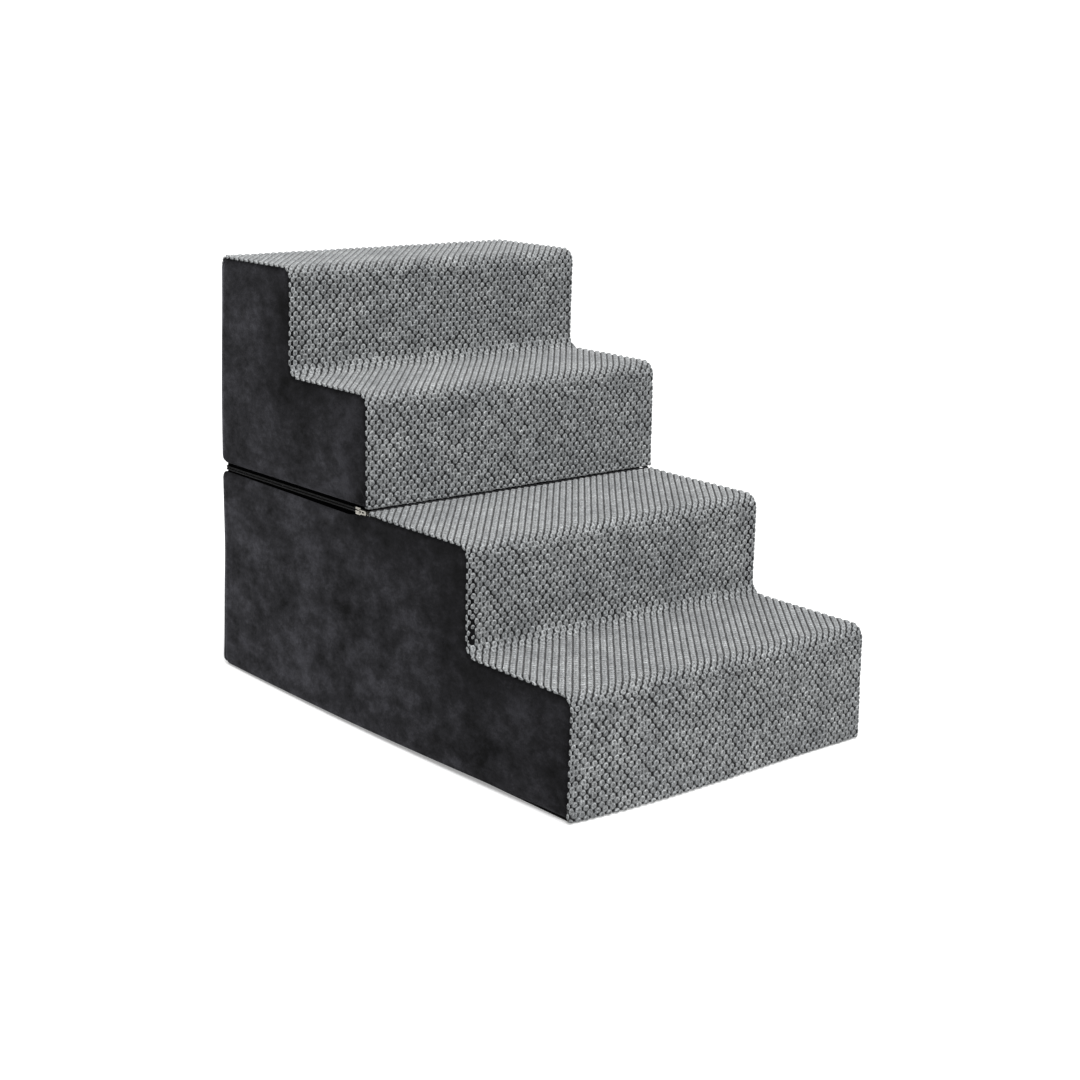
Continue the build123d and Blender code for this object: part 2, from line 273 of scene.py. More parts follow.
def noise_node(tree, coordinates, scale, detail=3.0, roughness=0.55):
    """Noise whose features are about 1 / scale metres across."""
    node = add(tree, "ShaderNodeTexNoise", Scale=scale, Detail=detail, Roughness=roughness)
    tree.links.new(coordinates, node.inputs["Vector"])
    return node.outputs["Fac"]


def ramp(tree, fac, stops):
    """A colour for each value of fac, from (place, colour) stops."""
    node = tree.nodes.new("ShaderNodeValToRGB")
    elements = node.color_ramp.elements
    while len(elements) < len(stops):
        elements.new(0.5)
    for element, (place, colour) in zip(elements, stops):
        element.position = place
        element.color = (*colour, 1.0)
    tree.links.new(fac, node.inputs["Fac"])
    return node.outputs["Color"]


def mix(tree, kind, fac, a, b):
    """Two colours blended; each input is a value or another node's output."""
    node = tree.nodes.new("ShaderNodeMix")
    node.data_type = "RGBA"
    node.blend_type = kind
    for socket, value in (("Factor", fac), ("A", a), ("B", b)):
        target = [s for s in node.inputs if s.name == socket and s.enabled][0]
        if hasattr(value, "links"):
            tree.links.new(value, target)
        else:
            target.default_value = value if socket == "Factor" else (*value, 1.0)
    return [s for s in node.outputs if s.enabled][0]


def maths(tree, operation, a, b=0.0, clamp=False):
    """A sum on two inputs, each a number or another node's output."""
    node = tree.nodes.new("ShaderNodeMath")
    node.operation = operation
    node.use_clamp = clamp
    for index, value in enumerate((a, b)):
        if hasattr(value, "links"):
            tree.links.new(value, node.inputs[index])
        else:
            node.inputs[index].default_value = value
    return node.outputs[0]


def multiply_grey(tree, colour, fac, stops, strength=1.0):
    """The colour multiplied by a grey ramp, whose stops are (place, grey) pairs."""
    greys = [(place, (grey, grey, grey)) for place, grey in stops]
    return mix(tree, "MULTIPLY", strength, colour, ramp(tree, fac, greys))


def bump(tree, shader, height, strength, distance):
    """Roughens a shader's normal from a height."""
    node = tree.nodes.new("ShaderNodeBump")
    node.inputs["Strength"].default_value = strength
    node.inputs["Distance"].default_value = distance
    tree.links.new(height, node.inputs["Height"])
    tree.links.new(node.outputs["Normal"], shader.inputs["Normal"])


def vertex_number(tree, name):
    """Reads what float_attribute stored."""
    return add(tree, "ShaderNodeAttribute", attribute_name=name).outputs["Fac"]


def object_coordinates(tree):
    return tree.nodes.new("ShaderNodeTexCoord").outputs["Object"]


def plush_material():
    """Grey plush: each tuft pale near its rim, painted dark past it and in the gaps as painted shade
    (partly dark ground cloth), flecked by its fibres.
    """
    material, tree, shader = new_material(
        "plush", Roughness=0.95, Sheen_Weight=0.35, Sheen_Roughness=0.6, Specular_IOR_Level=0.15
    )
    where = object_coordinates(tree)
    rim = vertex_number(tree, "rim")
    gap = vertex_number(tree, "gap")
    tone = vertex_number(tree, "tone")
    fibre = noise_node(tree, where, 900.0, 3.0, 0.7)
    strand = noise_node(tree, where, 430.0, 2.0, 0.6)
    patch = noise_node(tree, where, 22.0, 3.0, 0.55)
    ragged = maths(tree, "MULTIPLY", maths(tree, "SUBTRACT", strand, 0.5), 0.28)
    out = maths(tree, "ADD", rim, ragged)
    # past each tuft's rim the ramp falls to near black: painted shade between tufts, partly the dark
    # ground cloth
    colour = ramp(tree, out, [
        (0.08, (0.150, 0.156, 0.159)),
        (0.32, (0.230, 0.239, 0.243)),
        (0.54, (0.470, 0.484, 0.493)),
        (0.67, (0.260, 0.271, 0.277)),
        (0.76, (0.018, 0.019, 0.020)),
        (0.90, (0.002, 0.002, 0.003)),
    ])
    # painted shadow in the slots beside each tuft
    colour = multiply_grey(tree, colour, gap, [(0.25, 1), (0.75, 0.08)])
    colour = multiply_grey(tree, colour, tone, [(0.0, 0.84), (1.0, 1.16)])
    colour = multiply_grey(tree, colour, fibre, [(0.32, 0.35), (0.68, 1.65)], 0.9)
    colour = multiply_grey(tree, colour, strand, [(0.36, 0.58), (0.64, 1.38)], 0.9)
    shade = ramp(tree, patch, [(0.3, (0.80, 0.81, 0.82)), (0.7, (1.16, 1.16, 1.15))])
    colour = mix(tree, "MULTIPLY", 1.0, colour, shade)
    tree.links.new(colour, shader.inputs["Base Color"])
    bump(tree, shader, maths(tree, "ADD", fibre, maths(tree, "MULTIPLY", strand, 1.5)), 0.8, 0.0010)
    return material


def suede_material():
    """Charcoal suede with a clouded, brushed nap, and painted shade beside the stair edge."""
    material, tree, shader = new_material(
        "suede", Roughness=0.9, Sheen_Roughness=0.45,
        Sheen_Tint=(0.62, 0.62, 0.70, 1.0), Specular_IOR_Level=0.12
    )
    where = object_coordinates(tree)
    edge = vertex_number(tree, "edge")
    squeeze = tree.nodes.new("ShaderNodeMapping")
    squeeze.inputs["Scale"].default_value = (1.0, 0.66, 1.0)
    tree.links.new(where, squeeze.inputs["Vector"])
    brush = squeeze.outputs["Vector"]
    cloudy = noise_node(tree, brush, 58.0, 9.0, 0.80)
    broad = noise_node(tree, brush, 14.0, 3.0, 0.6)
    nap = noise_node(tree, where, 620.0, 4.0, 0.7)
    brushed = maths(
        tree, "ADD", maths(tree, "MULTIPLY", cloudy, 0.62), maths(tree, "MULTIPLY", broad, 0.38)
    )
    colour = ramp(tree, brushed, [
        (0.38, (0.0025, 0.0025, 0.0028)),
        (0.50, (0.0090, 0.0088, 0.0100)),
        (0.62, (0.0330, 0.0325, 0.0380)),
    ])
    # painted shade: darker where the edge attribute is low, beside the stair edge
    colour = multiply_grey(tree, colour, edge, [(0.0, 0.66), (1.0, 1.02)])
    colour = multiply_grey(tree, colour, nap, [(0.3, 0.55), (0.7, 1.45)], 0.8)
    tree.links.new(colour, shader.inputs["Base Color"])
    sheen = maths(tree, "MULTIPLY", maths(tree, "SUBTRACT", brushed, 0.36), 1.1, clamp=True)
    # the sheen is weakened there too, along with the painted shade
    sheen = maths(tree, "MULTIPLY", sheen, maths(tree, "ADD", edge, 0.6))
    tree.links.new(sheen, shader.inputs["Sheen Weight"])
    bump(tree, shader, maths(tree, "ADD", nap, maths(tree, "MULTIPLY", cloudy, 1.4)), 0.45, 0.0006)
    return material


def woven_material(name, dark, light, scale, strength=0.5, gloss=0.25):
    """Plain weave, from bands crossed along the three axes."""
    material, tree, shader = new_material(name, Roughness=0.8, Specular_IOR_Level=gloss)
    where = object_coordinates(tree)
    waves = []
    for direction in ("X", "Y", "Z"):
        wave = tree.nodes.new("ShaderNodeTexWave")
        wave.bands_direction = direction
        wave.inputs["Scale"].default_value = scale
        wave.inputs["Distortion"].default_value = 0.6
        tree.links.new(where, wave.inputs["Vector"])
        waves.append(wave.outputs["Fac"])
    crossed = maths(tree, "ADD", maths(tree, "ADD", waves[0], waves[1]), waves[2])
    weave = maths(tree, "MULTIPLY", crossed, 0.33)
    slub = noise_node(tree, where, 300.0, 3.0)
    tone = maths(
        tree, "ADD", maths(tree, "MULTIPLY", weave, 0.7), maths(tree, "MULTIPLY", slub, 0.3)
    )
    tree.links.new(ramp(tree, tone, [(0.25, dark), (0.75, light)]), shader.inputs["Base Color"])
    bump(tree, shader, tone, strength, 0.0003)
    return material


def coil_material():
    """Glossy black nylon, made blacker still as painted shade, as of the zip's shadowed recess."""
    material, tree, shader = new_material("zip_chain", Roughness=0.34, Specular_IOR_Level=0.2)
    where = object_coordinates(tree)
    tone = noise_node(tree, where, 180.0, 2.0)
    colour = ramp(tree, tone, [(0.3, (0.002, 0.002, 0.0022)), (0.7, (0.010, 0.010, 0.011))])
    tree.links.new(colour, shader.inputs["Base Color"])
    bump(tree, shader, noise_node(tree, where, 1500.0, 2.0), 0.2, 0.0001)
    return material


def nickel_material():
    """Plated metal, duller in worn patches."""
    material, tree, shader = new_material("zip_metal", Metallic=1.0)
    where = object_coordinates(tree)
    wear = noise_node(tree, where, 420.0, 4.0, 0.6)
    colour = ramp(tree, wear, [(0.3, (0.16, 0.152, 0.132)), (0.65, (0.42, 0.405, 0.365))])
    tree.links.new(colour, shader.inputs["Base Color"])
    rough = maths(tree, "ADD", maths(tree, "MULTIPLY", wear, 0.3), 0.18)
    tree.links.new(rough, shader.inputs["Roughness"])
    bump(tree, shader, noise_node(tree, where, 2600.0, 2.0), 0.12, 0.0001)
    return material


def foam_material():
    """Yellowish open-cell foam."""
    material, tree, shader = new_material("foam", Roughness=0.95, Specular_IOR_Level=0.1)
    where = object_coordinates(tree)
    cell = noise_node(tree, where, 700.0, 4.0, 0.7)
    patch = noise_node(tree, where, 12.0, 2.0)
    colour = ramp(tree, cell, [(0.3, (0.46, 0.43, 0.34)), (0.7, (0.78, 0.75, 0.64))])
    shade = ramp(tree, patch, [(0.3, (0.9, 0.9, 0.88)), (0.7, (1, 1, 1))])
    colour = mix(tree, "MULTIPLY", 1.0, colour, shade)
    tree.links.new(colour, shader.inputs["Base Color"])
    bump(tree, shader, cell, 0.6, 0.0006)
    return material


def rubber_material():
    """Black rubber of the grip dots."""
    material, tree, shader = new_material("grip_rubber", Roughness=0.6)
    where = object_coordinates(tree)
    tone = noise_node(tree, where, 260.0, 3.0)
    colour = ramp(tree, tone, [(0.3, (0.012, 0.012, 0.013)), (0.7, (0.03, 0.03, 0.032))])
    tree.links.new(colour, shader.inputs["Base Color"])
    bump(tree, shader, tone, 0.3, 0.0002)
    return material


PLUSH = plush_material()
SUEDE = suede_material()
# zip tape: real black, made blacker still and without gloss as painted shade, as of its shadowed
# recess
SHADED_TAPE = woven_material(
    "zip_tape", (0.0004, 0.0004, 0.0005), (0.0018, 0.0018, 0.002), 420.0, gloss=0.0
)
LINING = woven_material("lining", (0.008, 0.008, 0.009), (0.026, 0.026, 0.029), 260.0)
BASE_CLOTH = woven_material("base_cloth", (0.010, 0.010, 0.012), (0.030, 0.030, 0.033), 200.0)
SHADED_COIL = coil_material()
NICKEL = nickel_material()
FOAM = foam_material()
RUBBER = rubber_material()


# ---------------------------------------------------------------- plush covers

def tuft_field(across, along, tread, seed):
    """Staggered tufts, round on risers and run together into slanting ribs on treads.

    Gives each point's height, its distance out from the nearest tuft's middle as a share of that
    tuft's radius, how deep in a gap it lies for the painted shadow there, and its tuft's tone.
    """
    rng = np.random.default_rng(seed)
    columns = int((across.max() - across.min()) / TUFT_ACROSS) + 10
    rows = int((along.max() - along.min()) / TUFT_ROW) + 10
    chance = rng.random((rows, columns, 5))
    column0 = int(math.floor(across.min() / TUFT_ACROSS)) - 4
    row0 = int(math.floor(along.min() / TUFT_ROW)) - 4
    height, gap, tone = np.zeros_like(across), np.zeros_like(across), np.zeros_like(across)
    out = np.full_like(across, 9.0)
    slant = math.hypot(TUFT_ACROSS / 2, TUFT_ROW)
    rib_u, rib_v = TUFT_ACROSS / 2 / slant, TUFT_ROW / slant
    base_row = np.floor(along / TUFT_ROW).astype(int)
    for dr in (-1, 0, 1, 2):
        row = base_row + dr
        shift = (row % 2) * 0.5
        near = np.round(across / TUFT_ACROSS - shift).astype(int)
        for dc in (-1, 0, 1):
            column = near + dc
            c = chance[row - row0, column - column0]
            u = (column + shift) * TUFT_ACROSS
            v = row * TUFT_ROW
            loose = 1.0 - RIB_STEADY * tread
            du = across - u - (c[..., 0] - 0.5) * STRAY_ACROSS * loose
            dv = along - v - (c[..., 1] - 0.5) * STRAY_ALONG * loose
            grow = 1.0 + (c[..., 2] - 0.5) * STRAY_SIZE * loose
            round_q = (du / TUFT_RX) ** 2 + (dv / TUFT_RY) ** 2
            off_rib = (du * rib_v - dv * rib_u) / RIB_WIDE
            on_rib = (du * rib_u + dv * rib_v) / RIB_LONG
            q = (round_q * (1 - tread) + (off_rib ** 2 + on_rib ** 2) * tread) / grow ** 2
            dome = np.sqrt(np.clip(1 - q ** DOME_POWER, 0, 1))
            dome = dome * (1.0 - STRAY_HEIGHT * loose * c[..., 3])
            tone = np.where(q < out, c[..., 4], tone)
            out = np.minimum(out, q)
            height = np.maximum(height, dome)
            # the slot beside each tuft, darkened later as painted shadow
            du = across - u - TUFT_ACROSS / 2 - (c[..., 4] - 0.5) * STRAY_GAP
            dv = along - v - (c[..., 2] - 0.5) * STRAY_GAP
            gap = np.maximum(gap, 1 - np.sqrt((du / GAP_SHADE_RX) ** 2 + (dv / GAP_SHADE_RY) ** 2))
    return height, np.sqrt(out), gap * (1 - tread), tone


def floor_bulge(z, height):
    """A bulge's share at each height: full at the floor, none at the given height."""
    return np.clip(1 - z / height, 0, 1) ** BULGE_POWER


def flare(y, z):
    """How far the lower module's sides bulge out near the floor."""
    back = smoothstep(FRONT, FRONT + FLARE_RUN, y)
    along = np.clip((y - FRONT) / (BACK - FRONT), 0, 1)
    ends = FLARE_FRONT + (FLARE_BACK - FLARE_FRONT) * back
    return (ends + FLARE_MIDDLE * 4 * along * (1 - along)) * floor_bulge(z, FLARE_HEIGHT)


def front_bow(x, z):
    """How far the front riser bows out near the floor, more towards its left."""
    across = np.clip(x, -1, 1)
    skew = np.maximum(1 - FRONT_BOW_LEFT * across, 0)
    return FRONT_BOW * (1 - across ** 2) * skew * floor_bulge(z, FRONT_BOW_HEIGHT)


def back_swell(y, z):
    """How far the covers stand out at the back: most beside the joint, least at floor and top."""
    joint, top = UPPER_PLUSH[0][2], UPPER_PLUSH[1][2]
    low = BACK_SWELL * smoothstep(0, BACK_SWELL_FROM, z)
    high = BACK_SWELL - (BACK_SWELL + BACK_LEAN) * np.clip((z - joint) / (top - joint), 0, 1)
    return np.minimum(low, high) * np.clip((y - FRONT) / (BACK - FRONT), 0, 1) ** 6


def top_lean(x, z):
    """How far the left side leans in towards the top."""
    return TOP_LEAN * smoothstep(TOP_LEAN_FROM, UPPER_PLUSH[1][2], z) * np.clip(-x / HALF, 0, 1)


def plush_cover(name, corners, radii, seed, anchor, flared=False):
    """Tufted plush along a stair profile, wrapped round both side edges.

    The anchor is where along the profile the tuft rows start, from its end if negative.
    """
    half = HALF + EDGE_PROUD
    path, normals, along = rounded_path(corners, radii, PILE_STEP)
    tangents = np.stack([normals[:, 1], -normals[:, 0]], 1)
    flat = half - EDGE_R
    reach = flat + EDGE_R * math.pi / 2 + EDGE_TAIL
    number = int(round(2 * reach / PILE_STEP)) + 1
    across = np.linspace(-reach, reach, number)
    over = np.maximum(np.abs(across) - flat, 0)
    angle = np.clip(over / EDGE_R, 0, math.pi / 2)
    tail = np.maximum(over - EDGE_R * math.pi / 2, 0)
    sign = np.sign(across)
    x = np.where(over > 0, sign * (flat + EDGE_R * np.sin(angle)), across)
    inset = EDGE_R * (1 - np.cos(angle)) + tail
    u, v = np.meshgrid(across, along)
    row_start = anchor if anchor >= 0 else along[-1] + anchor
    tread = smoothstep(0.35, 0.9, normals[:, 1])[:, None] * np.cos(angle)[None, :]
    field, rim, gap, tone = tuft_field(u, v - row_start, tread, seed)
    swell = cloud_grid(u, v, SWELL_SCALE, seed)
    rng = np.random.default_rng(seed + 50)
    fuzz = rng.random(field.shape) - 0.5
    out_profile, out_side = np.cos(angle), np.sin(angle) * sign
    tall = RISER_TUFT_H + (TREAD_TUFT_H - RISER_TUFT_H) * tread
    deep = tall + (EDGE_R - EDGE_SINK - tall) * np.sin(angle)[None, :]
    lift = deep * (field - 1.0) + SWELL * swell + FUZZ * fuzz
    depth = -inset[None, :] + lift * out_profile[None, :]
    points = np.empty(u.shape + (3,))
    points[..., 0] = x[None, :] + lift * out_side[None, :]
    lean = TUFT_LEAN * (field ** 2 - 0.5) * out_profile[None, :]
    lean = lean * smoothstep(0, 12, v) * smoothstep(0, 12, along[-1] - v)
    points[..., 1] = path[:, None, 0] + normals[:, None, 0] * depth + tangents[:, None, 0] * lean
    points[..., 2] = path[:, None, 1] + normals[:, None, 1] * depth + tangents[:, None, 1] * lean
    at_side = np.sign(u) * (np.abs(u) / reach) ** 12
    if flared:
        points[..., 0] *= 1 + flare(points[..., 1], points[..., 2]) / half
        points[..., 1] -= front_bow(points[..., 0] / half, points[..., 2]) * smoothstep(0, 5, v)
        near_floor = np.clip(1 - points[..., 2] / CORNER_R, 0, 1)
        points[..., 0] -= CORNER_R * (1 - np.sqrt(1 - near_floor ** 2)) * at_side
    else:
        points[..., 0] -= CORNER_PULL * smoothstep(along[-1] - 32, along[-1] - 8, v) * at_side
        points[..., 1] += back_swell(points[..., 1], points[..., 2])
        points[..., 0] += top_lean(points[..., 0], points[..., 2])
    points[..., 0] += EDGE_SHIFT
    faces = grid_faces(len(along), number)[:, ::-1]
    obj = make_object(name, points.reshape(-1, 3), faces, PLUSH)
    float_attribute(obj, "rim", np.clip(rim / RIM_REACH, 0, 1))
    # where painted shadow darkens the slots between tufts
    float_attribute(obj, "gap", np.clip(gap, 0, 1))
    float_attribute(obj, "tone", tone)
    return obj


LOWER_PLUSH = span("lower_plush_cover")
UPPER_PLUSH = span("upper_plush_cover")
HALF = LOWER_PLUSH[1][0]
FRONT = LOWER_PLUSH[0][1]
BACK = span("lower_back_panel")[1][1]
STEP_Y = [
    FRONT,
    span("lower_foam_top_slab")[0][1] - COVER_THICK,
    UPPER_PLUSH[0][1],
    span("upper_foam_top_slab")[0][1] - COVER_THICK,
]
STEP_Z = [
    span("lower_foam_bottom_slab")[1][2] + COVER_THICK,
    LOWER_PLUSH[1][2],
    span("upper_foam_bottom_slab")[1][2] + COVER_THICK,
    UPPER_PLUSH[1][2],
]

crease_y = LOWER_PLUSH[1][1] + 0.1
lower_plush = plush_cover(
    "plush_lower",
    [
        (FRONT + 5.0, 0.3),
        (FRONT + 0.5, 0.3),
        (FRONT, STEP_Z[0]),
        (STEP_Y[1] + RISER_LEAN, STEP_Z[0]),
        (STEP_Y[1], STEP_Z[1]),
        (STEP_Y[2] - 30.0, STEP_Z[1]),
        (crease_y, STEP_Z[1] + CREASE_LIP),
        (crease_y, STEP_Z[1] - 4.2),
    ],
    [0, CURL_R, NOSE_R, INNER_R, NOSE_R, 20.0, CREASE_R, 0],
    seed=3,
    anchor=-7.4,
    flared=True,
)
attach(lower_plush, "lower_module")
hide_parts("lower_plush_cover")

riser_foot = UPPER_PLUSH[0][2] - 1.6
upper_plush = plush_cover(
    "plush_upper",
    [
        (STEP_Y[2] + 5.0, riser_foot),
        (STEP_Y[2], riser_foot),
        (STEP_Y[2], STEP_Z[2]),
        (STEP_Y[3] + RISER_LEAN, STEP_Z[2]),
        (STEP_Y[3], STEP_Z[3]),
        (BACK, STEP_Z[3]),
        (BACK, STEP_Z[3] - 13.5),
    ],
    [0, CREASE_R, NOSE_R, INNER_R, NOSE_R, 12.0, 0],
    seed=4,
    anchor=6.6,
)
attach(upper_plush, "upper_module")
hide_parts("upper_plush_cover")


# ---------------------------------------------------------------- suede panels

def distance_to(outline, points):
    """Distance from each point to a closed polyline."""
    best = np.full(len(points), 1e9)
    for a, b in zip(outline, np.roll(outline, -1, axis=0)):
        d = b - a
        t = np.clip(((points - a) @ d) / max(d @ d, 1e-12), 0, 1)
        best = np.minimum(best, np.linalg.norm(points - a - t[:, None] * d, axis=1))
    return best


def inside(outline, points):
    """Which points lie within a closed polyline."""
    found = np.zeros(len(points), bool)
    for a, b in zip(outline, np.roll(outline, -1, axis=0)):
        crosses = (a[1] > points[:, 1]) != (b[1] > points[:, 1])
        if a[1] == b[1]:
            continue
        where = a[0] + (points[:, 1] - a[1]) * (b[0] - a[0]) / (b[1] - a[1])
        found ^= crosses & (points[:, 0] < where)
    return found


def fill_outline(outline):
    """A triangle mesh over an outline, fine near its edge and coarser within."""
    low, high = outline.min(0), outline.max(0)

    def lattice(step):
        rows = np.arange(low[1] + step / 2, high[1], step * 0.87)
        points = [
            (x + (i % 2) * step / 2, y)
            for i, y in enumerate(rows)
            for x in np.arange(low[0] + step / 3, high[0], step)
        ]
        points = np.array(points)
        points = points[inside(outline, points)]
        return points, distance_to(outline, points)

    fine, fine_d = lattice(FINE_STEP)
    coarse, coarse_d = lattice(COARSE_STEP)
    points = np.vstack([
        outline,
        fine[(fine_d > FINE_STEP * 0.55) & (fine_d < SEAM_REACH)],
        coarse[coarse_d > SEAM_REACH + COARSE_STEP * 0.3],
    ])
    count = len(outline)
    edges = [(i, (i + 1) % count) for i in range(count)]
    out_points, _, triangles, _, _, _ = delaunay_2d_cdt(
        [Vector(p) for p in points], edges, [list(range(count))], 1, 1e-5
    )
    return np.array([tuple(p) for p in out_points]), [tuple(t) for t in triangles], count


def crease(points, start, end, width, depth):
    """A soft pulled fold along a line, deepest at its start."""
    a, b = np.array(start), np.array(end)
    d = b - a
    t = ((points - a) @ d) / (d @ d)
    off = np.linalg.norm(points - a - np.clip(t, 0, 1)[:, None] * d, axis=1)
    return depth * np.exp(-((off / width) ** 2)) * (1 - smooth(np.clip(t, 0, 1)))


def panel(name, corners, radii, place, folds, seed, hem, stair=(), roll=0.0):
    """A suede panel stretched over foam: pulled in at its seams, with a soft belly.

    Painted shade darkens its colour beside the stair edge. A roll rounds off its top and bottom edges.
    A place turns its two flat coordinates and how far it stands out into points.
    """
    outline, _, _ = rounded_path(corners, radii, OUTLINE_STEP, closed=True)
    points, triangles, rim = fill_outline(outline)
    edge = distance_to(outline, points)
    out = -FACE_IN - SEAM_DROP * (1 - smoothstep(0, SEAM_REACH, edge))
    out += BELLY * smoothstep(6, BELLY_REACH, edge)
    loose = smoothstep(2, 30, edge)
    out += BROAD_SLACK * loose * cloud_grid(points[:, 0], points[:, 1], BROAD_SCALE, seed)
    out += FINE_SLACK * loose * cloud_grid(points[:, 0], points[:, 1], FINE_SCALE, seed + 1)
    for start, end, width, depth in folds:
        out += crease(points, start, end, width, depth)
    # painted shade: 1 away from the stair edge, falling to 0 along it
    painted_shade_fade = np.ones(len(points))
    if len(stair):
        painted_shade_fade = smoothstep(0, STAIR_SHADE, distance_to(np.vstack([stair, stair[::-1]]), points))
    if roll:
        low, high = points[:, 1].min(), points[:, 1].max()
        near = np.clip(1 - np.minimum(points[:, 1] - low, high - points[:, 1]) / roll, 0, 1)
        out -= roll * (1 - np.sqrt(1 - near ** 2)) * 0.8
    face = place(points[:, 0], points[:, 1], out)
    turned = place(points[:rim, 0], points[:rim, 1], np.minimum(out[:rim], 0.0) - hem + 1.5)
    faces = list(triangles)
    total = len(points)
    for i in range(rim):
        j = (i + 1) % rim
        faces.append((j, i, total + i, total + j))
    obj = make_object(name, np.vstack([face, turned]), faces, SUEDE)
    float_attribute(obj, "edge", np.concatenate([painted_shade_fade, painted_shade_fade[:rim]]))
    return obj


def side_place(side, flared=False):
    """Places a panel on the left side (-1) or the right (1)."""
    def place(y, z, out):
        x = side * (HALF + out + (flare(y, z) if flared else 0.0))
        return np.stack([x + top_lean(x, z), y + back_swell(y, z), z], 1)
    return place


def back_place(x, z, out):
    """Places a panel on the upper module's back."""
    return np.stack([x + top_lean(x, z), BACK + out + back_swell(BACK, z), z], 1)


def flared_back_place(x, z, out):
    """Places a panel on the lower module's back."""
    bulge = flare(np.full_like(z, BACK), z)
    y = BACK + out + bulge * 0.5 + back_swell(BACK, z)
    return np.stack([x * (1 + bulge / HALF), y, z], 1)


def finish_panel(obj, node, body):
    """Attaches a suede panel to its module and hides the CAD panel it stands in for."""
    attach(obj, body)
    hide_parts(node)


LOWER_SIDE = span("lower_left_panel")
UPPER_SIDE = span("upper_left_panel")
FOAM_BACK = LOWER_SIDE[1][1]
BAND_LOW = span("lower_back_panel")[1][2]
BAND_HIGH = UPPER_SIDE[0][2] - 0.8
HEM_DROP = 3.5
lower_corners = [
    (FRONT + TUCK, LOWER_SIDE[0][2]),
    (FOAM_BACK, LOWER_SIDE[0][2] - HEM_DROP),
    (FOAM_BACK, BAND_LOW + 2.5),
    (60.0, BAND_LOW - 1.2),
    (STEP_Y[2] - 4, STEP_Z[1] - TUCK),
    (STEP_Y[1] + TUCK, STEP_Z[1] - TUCK),
    (STEP_Y[1] + TUCK, STEP_Z[0] - TUCK),
    (FRONT + TUCK, STEP_Z[0] - TUCK),
]
lower_radii = [7, 11, 9, 60, 10, 14.5, 11, 14.5]
upper_corners = [
    (STEP_Y[2] + TUCK, BAND_HIGH),
    (FOAM_BACK, BAND_HIGH),
    (FOAM_BACK, STEP_Z[3] - TUCK),
    (STEP_Y[3] + TUCK, STEP_Z[3] - TUCK),
    (STEP_Y[3] + TUCK, STEP_Z[2] - TUCK),
    (STEP_Y[2] + TUCK, STEP_Z[2] - TUCK),
]
upper_radii = [5, 11, 17, 14.5, 11, 14.5]

LOWER_FOLDS = [
    ((FRONT + 7, 12.0), (FRONT + 40, 34.0), 3.0, -1.3),
    ((FRONT + 8, 24.0), (FRONT + 30, 50.0), 3.5, 0.8),
    ((FRONT + 22, 8.0), (FRONT + 60, 17.0), 3.0, 0.7),
    ((STEP_Y[1] + 6, STEP_Z[0] - 8), (STEP_Y[1] + 45, STEP_Z[0] - 30), 5.0, -1.0),
]
UPPER_FOLDS = [
    ((STEP_Y[2] + 8, BAND_HIGH + 6), (STEP_Y[2] + 34, BAND_HIGH + 30), 2.0, -2.6),
    ((STEP_Y[2] + 9, BAND_HIGH + 15), (STEP_Y[2] + 26, BAND_HIGH + 42), 2.6, 1.7),
    ((STEP_Y[2] + 17, BAND_HIGH + 4), (STEP_Y[2] + 48, BAND_HIGH + 11), 2.2, 1.7),
    ((STEP_Y[3] + 6, STEP_Z[2] - 8), (STEP_Y[3] + 45, STEP_Z[2] - 30), 5.0, -1.0),
]
LOWER_FOAM = ["lower_foam_bottom_slab", "lower_foam_top_slab"]
UPPER_FOAM = ["upper_foam_bottom_slab", "upper_foam_top_slab"]
for side, word in ((-1, "left"), (1, "right")):
    if word == "right":  # its lower edge stays clear of the base zip's pull
        lift = LOWER_SIDE[0][2] + 0.6
        lower_corners[:2] = [(FRONT + TUCK, lift), (FOAM_BACK, lift)]
    made = panel(
        f"suede_lower_{word}", lower_corners, lower_radii, side_place(side, True),
        LOWER_FOLDS, 10 + side, SIDE_HEM, stair=lower_corners[4:] + lower_corners[:1],
    )
    finish_panel(made, f"lower_{word}_panel", "lower_module")
    made = panel(
        f"suede_upper_{word}", upper_corners, upper_radii, side_place(side),
        UPPER_FOLDS, 20 + side, UPPER_SIDE_HEM, stair=upper_corners[3:] + upper_corners[:1],
    )
    finish_panel(made, f"upper_{word}_panel", "upper_module")

back_half = HALF - 1.5
lower_back = span("lower_back_panel")
upper_back = span("upper_back_panel")
for name, node, body, place, low, high, rests in (
    ("suede_lower_back", "lower_back_panel", "lower_module", flared_back_place,
     lower_back[0][2] - HEM_DROP, lower_back[1][2] + 2.5, LOWER_FOAM),
    ("suede_upper_back", "upper_back_panel", "upper_module", back_place,
     upper_back[0][2] - 0.8, upper_back[1][2] + 4.0, UPPER_FOAM),
):
    corners = [(-back_half, low), (back_half, low), (back_half, high), (-back_half, high)]
    made = panel(name, corners, [4, 4, 2, 2], place, [], 31, BACK_HEM, roll=BACK_ROLL)
    finish_panel(made, node, body)


# ---------------------------------------------------------------- zips

def u_path(half, front, back, radius, step):
    """Points and outward normals down the left side, across the back and up the right side."""
    corners = [(-half, front), (-half, back), (half, back), (half, front)]
    return rounded_path(corners, [0, radius, radius, 0], step)


